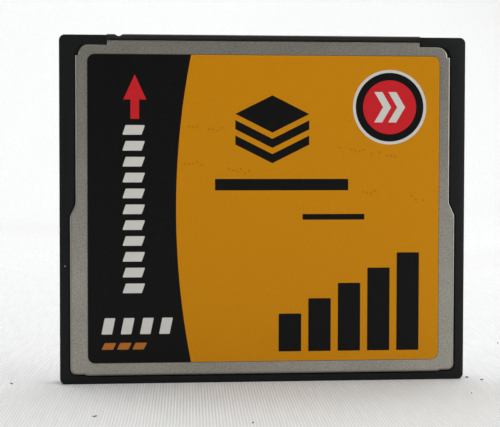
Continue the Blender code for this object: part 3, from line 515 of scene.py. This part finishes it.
def folded_cover(name, node):
    """A cover with the size and place of its CAD solid: a flat blank whose sides and foot are folded in."""
    low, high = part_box(node)
    inward = 1 if node == "front_cover" else -1
    outer_face = low.y if inward > 0 else high.y
    blank, root = cover_blank(low, high)
    bm = bmesh.new()
    outer = [bm.verts.new((x, outer_face, z)) for x, z in blank]
    inner = [bm.verts.new((x, outer_face + inward * STEEL, z)) for x, z in blank]
    bm.faces.new(outer)
    bm.faces.new(inner)
    first = blank.index(root[0])
    last = first + len(root)
    fold_over(bm, outer[first:last], inner[first:last], inward, high.y - low.y - FOLD_OUTSIDE)
    for i in (*range(first + 1), *range(last, len(blank))):
        bm.faces.new((outer[i - 1], outer[i], inner[i], inner[i - 1]))

    bmesh.ops.recalc_face_normals(bm, faces=bm.faces)
    punched = {*outer[:first + 1], *outer[last - 1:]}
    rolled_edges = [edge for edge in bm.edges if set(edge.verts) <= punched]
    bmesh.ops.bevel(
        bm, geom=rolled_edges, offset=EDGE_ROLL, segments=EDGE_ROLL_STEPS, profile=0.5, affect="EDGES",
        material=EDGE_SLOT,
    )
    cover = finish_piece(name, bm, stainless)
    cover.data.materials.append(burnished_with_painted_glint)
    cover.data.materials.append(shaded_fold)
    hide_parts(node)


folded_cover("front_steel_cover", "front_cover")
folded_cover("rear_steel_cover", "rear_cover")


# Printed film
# A sheet of polyester film is printed with amber, black, red, white and orange inks in plain shapes, and
# glued to the front cover. The inks are thin coats on its face, one a little higher than the other.

FILM = 0.05e-3
FILM_CORNER = 0.75e-3
FILM_EDGE_ROUND = 0.012e-3
FILM_EDGE_STEPS = 2
FILM_EDGE_SHADE_WIDTH = 0.05e-3
COAT = 0.005e-3
PRINT_CORNER = 0.07e-3
PRINT_CORNER_STEPS = 4
FIELD_EDGE = 10.74e-3
FIELD_SAGITTA = 1.57e-3
FIELD_STEPS = 48
ARROW_X = 4.88e-3
ARROW_TOP = 2.07e-3
ARROW_WIDTH = 2.4e-3
ARROW_HEAD = 2.6e-3
ARROW_STEM = 0.9e-3
ARROW_HEIGHT = 4.6e-3
LADDER_LEFT = 3.58e-3
LADDER_TOP = 7.32e-3
LADDER_BAR = (2.0e-3, 1.0e-3)
LADDER_PITCH = 1.65e-3
LADDER_BARS = 11
TICK_LEFT = 1.38e-3
TICK_FROM_FOOT = 4.7e-3
TICK = (1.1e-3, 1.7e-3)
TICK_PITCH = 2.0e-3
TICKS = 4
DASH_FROM_FOOT = 2.1e-3
DASH = (1.2e-3, 0.7e-3)
DASH_PITCH = 1.6e-3
DASHES = 3
LEAN = 0.35e-3
BADGE_FROM_RIGHT = 5.35e-3
BADGE_FROM_TOP = 5.37e-3
BADGE_RADII = (3.93e-3, 3.62e-3, 2.84e-3)
BADGE_SIDES = 128
CHEVRON_HEIGHT = 3.2e-3
CHEVRON_REACH = 0.95e-3
CHEVRON_ARM = 0.85e-3
CHEVRON_PITCH = 1.5e-3
STACK_FROM_TOP = 7.72e-3
STACK_WIDTH = 7.8e-3
STACK_PLATE = 3.9e-3
STACK_BAND = 0.95e-3
STACK_PITCH = 1.6e-3
STACK_PLATES = 3
LONG_RULE = (14.1e-3, 1.2e-3)
LONG_RULE_FROM_TOP = 12.92e-3
LONG_RULE_FROM_FIELD = 2.5e-3
SHORT_RULE = (6.6e-3, 0.6e-3)
SHORT_RULE_FROM_TOP = 16.62e-3
SHORT_RULE_FROM_RIGHT = 8.0e-3
LEVEL_FROM_RIGHT = 2.1e-3
LEVEL_FROM_FOOT = 1.0e-3
LEVEL_WIDTH = 2.4e-3
LEVEL_PITCH = 3.15e-3
LEVEL_FIRST = 4.0e-3
LEVEL_STEP = 1.6e-3
LEVELS = 5
GHOST_DOT = 0.13e-3
GHOST_SIDES = 10
GHOST_PITCH = 0.43e-3
GHOST_COAT = 0.002e-3
GHOST_SLOPE = radians(-8)
GHOST_RUNS = (
    (10.5e-3, 7.3e-3, 13),
    (26.4e-3, 9.7e-3, 16),
    (10.1e-3, 11.2e-3, 5),
    (14.7e-3, 11.9e-3, 6),
    (28.9e-3, 14.2e-3, 4),
    (33.7e-3, 14.9e-3, 6),
)
GHOST_SHARE = 0.8
SEED = 4
INK_GRAIN = 0.2e-3
INK_GRAIN_HEIGHT = 0.004e-3
INK_ROUGHNESS = (0.4, 0.5)
SCUFF_WIDTH = 0.12e-3
SCUFF_LENGTH = 2.5e-3
SCUFF_TURN = radians(35)
AMBER_INK = "d48d02"
AMBER_INK_DEEP = "c87f01"
GHOST_AMBER = "b8700e"
BLACK_INK = "050505"
BLACK_INK_SCUFFED = "181818"
WHITE_INK = "d8d6d0"
RED_INK = "d0232a"
ORANGE_INK = "b86e28"
# The dark rim round the film is painted shade
FILM_EDGE_SHADE = "554a3a"

film_low, film_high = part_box("front_label")
film_face = film_high.y - FILM
film_width = film_high.x - film_low.x
film_height = film_high.z - film_low.z


def ink_material(name, colour, other_colour):
    """Screen ink: satin, and mottled by the screen's mesh, which is drawn twice as coarse as it is."""
    material, tree, shader = start_material(name, {"IOR": 1.5, "Specular IOR Level": 0.15})
    place = add_node(tree, "ShaderNodeTexCoord").outputs["Object"]
    mesh_marks = add_node(tree, "ShaderNodeTexNoise", {
        "Vector": place, "Scale": 1 / INK_GRAIN, "Detail": 2,
    })
    scuff_space = add_node(tree, "ShaderNodeMapping", {
        "Vector": place, "Scale": (1 / SCUFF_LENGTH, 1, 1 / SCUFF_WIDTH), "Rotation": (0, SCUFF_TURN, 0),
    })
    scuffs = add_node(tree, "ShaderNodeTexNoise", {
        "Vector": scuff_space.outputs[0], "Scale": 1, "Detail": 2,
    })
    scuffed = add_node(tree, "ShaderNodeMapRange", {0: scuffs.outputs["Fac"], 1: 0.66, 2: 0.8})
    spread = add_node(tree, "ShaderNodeMapRange", {
        0: mesh_marks.outputs["Fac"], 1: 0.3, 2: 0.7, 3: 0, 4: 0.5,
    })
    mottle = add_node(tree, "ShaderNodeMath", {
        0: spread.outputs[0], 1: scuffed.outputs[0],
    }, operation="MAXIMUM")
    mixed = add_node(tree, "ShaderNodeMix", {
        0: mottle.outputs[0], 6: linear(colour), 7: linear(other_colour),
    }, data_type="RGBA")
    gloss = add_node(tree, "ShaderNodeMapRange", {
        0: mesh_marks.outputs["Fac"], 3: INK_ROUGHNESS[0], 4: INK_ROUGHNESS[1],
    })
    relief = add_node(tree, "ShaderNodeBump", {
        "Strength": 0.15, "Distance": INK_GRAIN_HEIGHT, "Height": mesh_marks.outputs["Fac"],
    })
    tree.links.new(mixed.outputs[2], shader.inputs["Base Color"])
    tree.links.new(gloss.outputs[0], shader.inputs["Roughness"])
    tree.links.new(relief.outputs[0], shader.inputs["Normal"])
    return material


def film_point(from_left, from_top):
    """The (x, z) place at these distances from the film's left and top edges."""
    return (film_low.x + from_left, film_high.z - from_top)


def mark(left, top, size, lean=0.0):
    """A printed bar with slightly rounded corners, whose top stands to the right of its foot by the lean."""
    x, z = film_point(left, top)
    width, height = size
    return rounded([
        (x, z - height, PRINT_CORNER),
        (x + width, z - height, PRINT_CORNER),
        (x + width + lean, z, PRINT_CORNER),
        (x + lean, z, PRINT_CORNER),
    ], steps=PRINT_CORNER_STEPS)


def disc(centre, radius, sides=BADGE_SIDES):
    """A circle's outline, in straight sides."""
    x, z = centre
    turns = [2 * pi * i / sides for i in range(sides)]
    return [(x + radius * cos(turn), z + radius * sin(turn)) for turn in turns]


def print_coat(name, outlines, height, material):
    """One ink, printed as raised shapes that stand this high above the film's face."""
    bm = bmesh.new()
    for outline in outlines:
        slab(bm, outline, film_face - height, film_face + COAT)
    return finish_piece(name, bm, material)


amber = ink_material("amber printed polyester film", AMBER_INK, AMBER_INK_DEEP)
black = ink_material("black screen ink", BLACK_INK, BLACK_INK_SCUFFED)
white = ink_material("white screen ink", WHITE_INK, WHITE_INK)
red = ink_material("red screen ink", RED_INK, RED_INK)
orange = ink_material("orange screen ink", ORANGE_INK, ORANGE_INK)
ghost = ink_material("dark spots under the film", GHOST_AMBER, AMBER_INK)


def film_outline(growth):
    """The film's outline with rounded corners, grown by this much on every side."""
    low_x, high_x = film_low.x - growth, film_high.x + growth
    low_z, high_z = film_low.z - growth, film_high.z + growth
    corners = ((low_x, low_z), (high_x, low_z), (high_x, high_z), (low_x, high_z))
    return rounded([(x, z, FILM_CORNER + growth) for x, z in corners])


bm = bmesh.new()
slab(bm, film_outline(0), film_face, film_high.y)
front_rim = [edge for edge in bm.edges if all(v.co.y < film_face + FILM / 2 for v in edge.verts)]
bmesh.ops.bevel(
    bm, geom=front_rim, offset=FILM_EDGE_ROUND, segments=FILM_EDGE_STEPS, profile=0.5, affect="EDGES",
)
film = finish_piece("printed_film", bm, amber)
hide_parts("front_label")

# A thin dark rim round the film, standing half as high as it, is painted shade along the film's edge
film_edge_shade, tree, shader = start_material("painted shade round the film", {"Base Color": linear(FILM_EDGE_SHADE), "Roughness": 0.7})
bm = bmesh.new()
slab(bm, film_outline(FILM_EDGE_SHADE_WIDTH), film_high.y - FILM / 2, film_high.y)
finish_piece("film_edge_shade_line", bm, film_edge_shade)

# The black field's right edge is a shallow arc that bulges to the left
field_left, field_top = film_point(0, 0)
field_foot = film_low.z
field_middle = (field_top + field_foot) / 2
field_radius = (film_height ** 2 / 4 + FIELD_SAGITTA ** 2) / (2 * FIELD_SAGITTA)
field_centre = field_left + FIELD_EDGE - FIELD_SAGITTA + field_radius
field_arc = []
for step in range(FIELD_STEPS + 1):
    z = field_foot + film_height * step / FIELD_STEPS
    field_arc.append((field_centre - (field_radius ** 2 - (z - field_middle) ** 2) ** 0.5, z))
field = rounded([
    (field_left, field_top, FILM_CORNER),
    (field_left, field_foot, FILM_CORNER),
    (field_left + FIELD_EDGE, field_foot, 0),
    (field_left + FIELD_EDGE, field_top, 0),
])[:-2] + field_arc

# Three square plates lie one over the other, halfway between the field and the badge
badge = film_point(film_width - BADGE_FROM_RIGHT, BADGE_FROM_TOP)
stack_x = (field_left + FIELD_EDGE + badge[0] - BADGE_RADII[0]) / 2
side = film_high.z - STACK_FROM_TOP + (STACK_PLATES - 1) / 2 * STACK_PITCH
reach, rise = STACK_WIDTH / 2, STACK_PLATE / 2
stack = [[(stack_x - reach, side), (stack_x, side - rise), (stack_x + reach, side), (stack_x, side + rise)]]
for _ in range(1, STACK_PLATES):
    side -= STACK_PITCH
    near = [(stack_x - reach, side), (stack_x, side - rise), (stack_x + reach, side)]
    stack.append(near + [(x, z + STACK_BAND) for x, z in reversed(near)])

# Two plain rules stand under the plates, and five bars rise towards the right at the film's foot
rules = [
    mark(FIELD_EDGE + LONG_RULE_FROM_FIELD, LONG_RULE_FROM_TOP, LONG_RULE),
    mark(film_width - SHORT_RULE_FROM_RIGHT - SHORT_RULE[0], SHORT_RULE_FROM_TOP, SHORT_RULE),
]
levels_left = film_width - LEVEL_FROM_RIGHT - LEVEL_WIDTH - (LEVELS - 1) * LEVEL_PITCH
levels = []
for i in range(LEVELS):
    tall = LEVEL_FIRST + i * LEVEL_STEP
    level_top = film_height - LEVEL_FROM_FOOT - tall
    levels.append(mark(levels_left + i * LEVEL_PITCH, level_top, (LEVEL_WIDTH, tall)))

# The black field has a ladder of leaning bars, with ticks and dashes below it and an arrow above it
ladder = [mark(LADDER_LEFT, LADDER_TOP + i * LADDER_PITCH, LADDER_BAR, LEAN) for i in range(LADDER_BARS)]
ticks = [mark(TICK_LEFT + i * TICK_PITCH, film_height - TICK_FROM_FOOT, TICK, LEAN) for i in range(TICKS)]
dashes = [mark(TICK_LEFT + i * DASH_PITCH, film_height - DASH_FROM_FOOT, DASH, LEAN) for i in range(DASHES)]

arrow_x, arrow_top = film_point(ARROW_X, ARROW_TOP)
neck = arrow_top - ARROW_HEAD
arrow_foot = arrow_top - ARROW_HEIGHT
right = [(ARROW_STEM / 2, arrow_foot), (ARROW_STEM / 2, neck), (ARROW_WIDTH / 2, neck)]
left = [(-dx, z) for dx, z in reversed(right)]
arrow = [(arrow_x + dx, z) for dx, z in [*right, (0, arrow_top), *left]]

# Two chevrons stand side by side in the badge
chevrons = []
for shift in (-CHEVRON_PITCH / 2, CHEVRON_PITCH / 2):
    x = badge[0] + shift - (CHEVRON_ARM + CHEVRON_REACH) / 2
    z = badge[1]
    up = CHEVRON_HEIGHT / 2
    chevrons.append([
        (x, z - up),
        (x + CHEVRON_ARM, z - up),
        (x + CHEVRON_ARM + CHEVRON_REACH, z),
        (x + CHEVRON_ARM, z + up),
        (x, z + up),
        (x + CHEVRON_REACH, z),
    ])

# Broken rows of dots under the film show through it as faint darker spots. Each row is given by its start
# and its number of dots.
drawn = random.Random(SEED)
dots = []
for left, top, count in GHOST_RUNS:
    for i in range(count):
        if drawn.random() > GHOST_SHARE:
            continue
        run = i * GHOST_PITCH
        x, z = film_point(left + run * cos(GHOST_SLOPE), top - run * sin(GHOST_SLOPE))
        dots.append(disc((x, z + drawn.uniform(-0.5, 0.5) * GHOST_PITCH), GHOST_DOT, GHOST_SIDES))

print_coat("film_ghost_dots", dots, GHOST_COAT, ghost)
print_coat("film_black_print", [field, *stack, *rules, *levels], COAT, black)
print_coat("film_badge_edge", [disc(badge, BADGE_RADII[0])], COAT, white)
print_coat("film_badge_ring", [disc(badge, BADGE_RADII[1])], 2 * COAT, black)
print_coat("film_white_print", [*ladder, *ticks], 2 * COAT, white)
print_coat("film_orange_print", dashes, 2 * COAT, orange)
print_coat("film_red_print", [disc(badge, BADGE_RADII[2]), arrow], 3 * COAT, red)
print_coat("film_badge_chevrons", chevrons, 4 * COAT, white)


# Cloth under the card
# A pale table cloth lies under the card and curves up into a backdrop some way behind it. It is closely
# woven from uneven cotton, which looks faintly ribbed. A few short threads of lint have dropped on it.

CLOTH_FRONT = 0.7
CLOTH_BACK = 0.55
CLOTH_HALF_WIDTH = 0.9
SWEEP_RADIUS = 0.25
CLOTH_TOP = 0.8
SWEEP_STEPS = 24
WEAVE_PITCH = 0.3e-3
WEAVE_TURN = radians(4)
WEAVE_HEIGHT = 0.05e-3
SLUB_LENGTH = 6e-3
LINT_THREADS = 22
LINT_LENGTH = (0.2e-3, 0.6e-3)
LINT_WIDTH = 0.1e-3
LINT_BEND = 0.8
LINT_LIFT = 0.02e-3
LINT_PATCH = ((-35e-3, 35e-3), (-35e-3, 30e-3))
FOLD_SPREAD = 0.16
CLOTH_WHITE = "dadbdb"
# Darker thread lines and soft fold patches on the cloth are painted shade
CLOTH_THREAD_SHADE_AND_SLUB = "c2c3c3"
CLOTH_FOLD_SHADE = "cecdcb"
LINT_GREY = "6b655d"

# Cotton cloth: white and matt. Soft darker patches on it are painted shade of folds, and the darker lines
# between its threads are painted shade mixed with the cotton's uneven tone. Its threads are drawn as coarse
# as they need to be to show.
cotton, tree, shader = start_material("white cotton cloth", {"Roughness": 0.9, "Specular IOR Level": 0.2})
place = add_node(tree, "ShaderNodeTexCoord").outputs["Object"]
turned = add_node(tree, "ShaderNodeMapping", {"Vector": place, "Rotation": (0, 0, WEAVE_TURN)})
threads = add_node(tree, "ShaderNodeTexWave", {
    "Vector": turned.outputs[0],
    "Scale": 1 / WEAVE_PITCH / WAVE_BANDS_PER_METRE,
    "Distortion": 1.2,
    "Detail": 2,
}, bands_direction="X")
slub_space = add_node(tree, "ShaderNodeMapping", {
    "Vector": turned.outputs[0], "Scale": (1 / WEAVE_PITCH, 1 / SLUB_LENGTH, 1 / WEAVE_PITCH),
})
slubs = add_node(tree, "ShaderNodeTexNoise", {"Vector": slub_space.outputs[0], "Scale": 0.7, "Detail": 3})
woven = add_node(tree, "ShaderNodeMix", {0: 0.5, 2: threads.outputs["Fac"], 3: slubs.outputs["Fac"]})
spread_out = add_node(tree, "ShaderNodeMapRange", {0: woven.outputs[0], 1: 0.25, 2: 0.75})
# Soft darker patches: painted shade of folds in the cloth
patches = add_node(tree, "ShaderNodeTexNoise", {"Vector": place, "Scale": 1 / FOLD_SPREAD, "Detail": 1})
fold_shade = add_node(tree, "ShaderNodeMapRange", {0: patches.outputs["Fac"], 1: 0.45, 2: 0.7})
bright_cloth = add_node(tree, "ShaderNodeMix", {
    0: fold_shade.outputs[0], 6: linear(CLOTH_WHITE), 7: linear(CLOTH_FOLD_SHADE),
}, data_type="RGBA")
cloth_colour = add_node(tree, "ShaderNodeMix", {
    0: spread_out.outputs[0], 6: linear(CLOTH_THREAD_SHADE_AND_SLUB), 7: bright_cloth.outputs[2],
}, data_type="RGBA")
relief = add_node(tree, "ShaderNodeBump", {
    "Strength": 0.5, "Distance": WEAVE_HEIGHT, "Height": woven.outputs[0],
})
tree.links.new(cloth_colour.outputs[2], shader.inputs["Base Color"])
tree.links.new(relief.outputs[0], shader.inputs["Normal"])


def lay_out(name, bm, material):
    """Puts a made thing in the scene that isn't part of the card."""
    mesh = bpy.data.meshes.new(name)
    bm.to_mesh(mesh)
    bm.free()
    mesh.materials.append(material)
    thing = bpy.data.objects.new(name, mesh)
    bpy.context.scene.collection.objects.link(thing)
    return thing


profile = [(-CLOTH_FRONT, 0), (CLOTH_BACK - SWEEP_RADIUS, 0)]
for step in range(1, SWEEP_STEPS + 1):
    turn = pi / 2 * step / SWEEP_STEPS
    profile.append((CLOTH_BACK - SWEEP_RADIUS + SWEEP_RADIUS * sin(turn), SWEEP_RADIUS * (1 - cos(turn))))
profile.append((CLOTH_BACK, CLOTH_TOP))
bm = bmesh.new()
rows = [[bm.verts.new((side, y, z)) for y, z in profile] for side in (-CLOTH_HALF_WIDTH, CLOTH_HALF_WIDTH)]
for i in range(len(profile) - 1):
    bm.faces.new((rows[0][i], rows[1][i], rows[1][i + 1], rows[0][i + 1]))
cloth = lay_out("table_cloth", bm, cotton)
cloth.data.shade_smooth()

# Cotton lint: short dull threads, darkened by dust
lint, tree, shader = start_material("dark cotton lint", {"Base Color": linear(LINT_GREY), "Roughness": 0.9})
bm = bmesh.new()
for _ in range(LINT_THREADS):
    x, y = (drawn.uniform(*side) for side in LINT_PATCH)
    turn = drawn.uniform(0, pi)
    along = Vector((cos(turn), sin(turn), 0)) * drawn.uniform(*LINT_LENGTH) / 2
    across = Vector((-sin(turn), cos(turn), 0)) * LINT_WIDTH / 2
    middle = Vector((x, y, LINT_LIFT))
    corners = [middle - along, middle + across * LINT_BEND, middle + along, middle - across]
    push_out(bm, [bm.faces.new([bm.verts.new(corner) for corner in corners])], (0, 0, LINT_WIDTH))
bmesh.ops.recalc_face_normals(bm, faces=bm.faces)
threads_of_lint = lay_out("lint", bm, lint)


# Light
# A broad soft light hangs over the card and leaves its shadow all round the foot, and a second one lights
# the cloth behind it. Lamps at both sides, and a small one up on the right, draw the pale lines along the
# folds. Two low ones further off light the face, and the room is dim and a little green.

ROOM_GREY = 0.08
ROOM_COLOUR = (0.98, 1.0, 0.93, 1)


def soft_light(name, place, target, size, power):
    """A rectangular area lamp that stands at one place and faces another."""
    data = bpy.data.lights.new(name, "AREA")
    data.shape = "RECTANGLE"
    data.size, data.size_y = size
    data.energy = power
    light = bpy.data.objects.new(name, data)
    light.location = place
    light.rotation_euler = (Vector(target) - Vector(place)).to_track_quat("-Z", "Y").to_euler()
    bpy.context.scene.collection.objects.link(light)


soft_light("overhead_light", place=(0, 0.1, 0.5), target=(0, 0.06, 0), size=(0.8, 0.8), power=3.4)
soft_light("backdrop_light", place=(0, 0.3, 0.5), target=(0, 0.45, 0.1), size=(0.8, 0.4), power=1.85)
soft_light("right_hand_light", place=(0.4, -0.02, 0.12), target=(0, 0, 0.02), size=(0.3, 0.25), power=0.95)
soft_light("left_hand_light", place=(-0.4, -0.02, 0.12), target=(0, 0, 0.02), size=(0.3, 0.25), power=0.1)
soft_light("upper_right_light", place=(0.22, -0.18, 0.26), target=(0, 0, 0.03), size=(0.2, 0.2), power=0.16)
soft_light("right_of_the_room", place=(0.52, -0.32, 0.1), target=(0, 0, 0.02), size=(0.4, 0.14), power=0.7)
soft_light("left_of_the_room", place=(-0.52, -0.32, 0.1), target=(0, 0, 0.02), size=(0.4, 0.14), power=0.6)

world = bpy.data.worlds.new("dim room")
world.use_nodes = True
background = world.node_tree.nodes["Background"]
background.inputs["Color"].default_value = ROOM_COLOUR
background.inputs["Strength"].default_value = ROOM_GREY
bpy.context.scene.world = world


# Camera
# It stands a little to the left and just above the card, and looks almost square on to the film.

CAMERA_AZIMUTH = radians(-6.2)
CAMERA_HEIGHT_ANGLE = radians(2.56)
CAMERA_ROLL = radians(0.1)
CAMERA_DISTANCE = 169.41e-3
CAMERA_TARGET = Vector((-1.38e-3, 0, 17.7e-3))
FOCAL_LENGTH_MM = 115.2
SENSOR_MM = 36
NEAREST = 0.01
FARTHEST = 10

lens = bpy.data.cameras.new("camera")
lens.sensor_width = SENSOR_MM
lens.lens = FOCAL_LENGTH_MM
lens.clip_start = NEAREST
lens.clip_end = FARTHEST
camera = bpy.data.objects.new("camera", lens)
back = Vector((
    sin(CAMERA_AZIMUTH) * cos(CAMERA_HEIGHT_ANGLE),
    -cos(CAMERA_AZIMUTH) * cos(CAMERA_HEIGHT_ANGLE),
    sin(CAMERA_HEIGHT_ANGLE),
))
camera.location = CAMERA_TARGET + back * CAMERA_DISTANCE
facing = (-back).to_track_quat("-Z", "Y").to_matrix() @ Matrix.Rotation(CAMERA_ROLL, 3, "Z")
camera.rotation_euler = facing.to_euler()
bpy.context.scene.collection.objects.link(camera)
bpy.context.scene.camera = camera

bpy.context.scene.view_settings.view_transform = "Standard"
